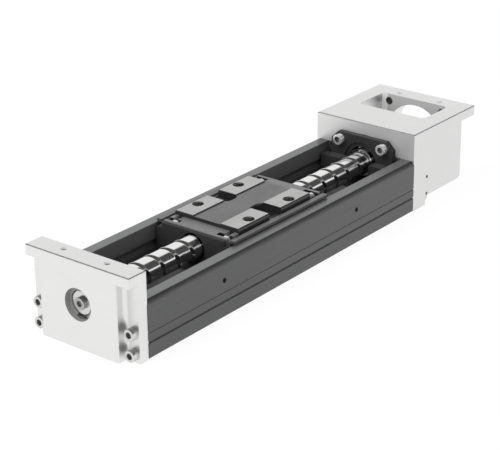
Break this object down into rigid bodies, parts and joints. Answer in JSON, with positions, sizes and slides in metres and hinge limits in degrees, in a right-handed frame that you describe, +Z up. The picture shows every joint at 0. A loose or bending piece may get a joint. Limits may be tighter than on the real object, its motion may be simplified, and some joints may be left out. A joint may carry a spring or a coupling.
{
  "type": "electric linear slide",
  "caption": "Electric linear slide: U-shaped guide rail with a ball screw in its channel, a padded carriage, an end plate and an open motor flange for a bolt-on motor.",
  "frame": {"origin": "centre of the rail's mounting face, on the middle of its bolt pattern", "axes": "+X along the rail towards the motor flange, +Y across the rail, +Z up out of the channel"},
  "size_m": [0.2675, 0.06, 0.041],
  "materials": {
    "rail_steel": "satin",
    "carriage_steel": "satin",
    "housing_steel": "satin",
    "aluminium": "satin",
    "ground_steel": "polished",
    "bearing_steel": "polished",
    "screw_steel": "satin",
    "cap_plastic": "matte",
    "seal_rubber": "matte",
    "bumper_rubber": "matte"
  },
  "bodies": {
    "frame": {"guide_rail": "rail_steel", "end_plate": "aluminium", "end_plate_screws": "screw_steel", "motor_flange": "aluminium", "motor_flange_screws": "screw_steel", "bearing_housing": "housing_steel", "bearing_housing_screws": "screw_steel", "drive_bearing_outer_rings": "bearing_steel", "bearing_retainer": "housing_steel", "support_bearing_outer_ring": "bearing_steel", "support_bearing_shield": "bearing_steel", "support_circlip": "screw_steel", "near_bumper": "bumper_rubber", "drive_end_bumper": "bumper_rubber"},
    "screw": {"ball_screw": "ground_steel", "drive_bearing_inner_rings": "bearing_steel", "thread_collar": "ground_steel", "lock_nut_spacer": "ground_steel", "bearing_lock_nut": "housing_steel", "support_bearing_inner_ring": "bearing_steel", "end_washer": "screw_steel", "screw_end_bolt": "screw_steel"},
    "drive_balls": {"drive_bearing_balls": "bearing_steel"},
    "support_balls": {"support_bearing_balls": "bearing_steel"},
    "carriage": {"carriage_block": "carriage_steel", "near_end_cap": "cap_plastic", "drive_end_cap": "cap_plastic", "near_cap_screws": "screw_steel", "drive_cap_screws": "screw_steel", "near_end_seal": "seal_rubber", "drive_end_seal": "seal_rubber", "left_seal_carrier": "screw_steel", "right_seal_carrier": "screw_steel", "left_seal_lip": "seal_rubber", "right_seal_lip": "seal_rubber", "left_guide_balls": "bearing_steel", "right_guide_balls": "bearing_steel", "screw_balls": "bearing_steel"}
  },
  "joints": [
    {"name": "carriage_slide", "type": "slide", "parent": "frame", "child": "carriage", "axis": [1, 0, 0], "range_m": [-0.05, 0.05]},
    {"name": "screw_turn", "type": "hinge", "parent": "frame", "child": "screw", "pos_m": [0, 0, 0.0208], "axis": [1, 0, 0], "range_deg": [-1801, 1801]},
    {"name": "drive_balls_orbit", "type": "hinge", "parent": "frame", "child": "drive_balls", "pos_m": [0, 0, 0.0208], "axis": [1, 0, 0], "range_deg": [-661, 661]},
    {"name": "support_balls_orbit", "type": "hinge", "parent": "frame", "child": "support_balls", "pos_m": [0, 0, 0.0208], "axis": [1, 0, 0], "range_deg": [-713, 713]}
  ],
  "couplings": [
    {"joint": "screw_turn", "follows": "carriage_slide", "rad_per_m": -628.32},
    {"joint": "drive_balls_orbit", "follows": "carriage_slide", "rad_per_m": -230.38},
    {"joint": "support_balls_orbit", "follows": "carriage_slide", "rad_per_m": -248.6}
  ]
}
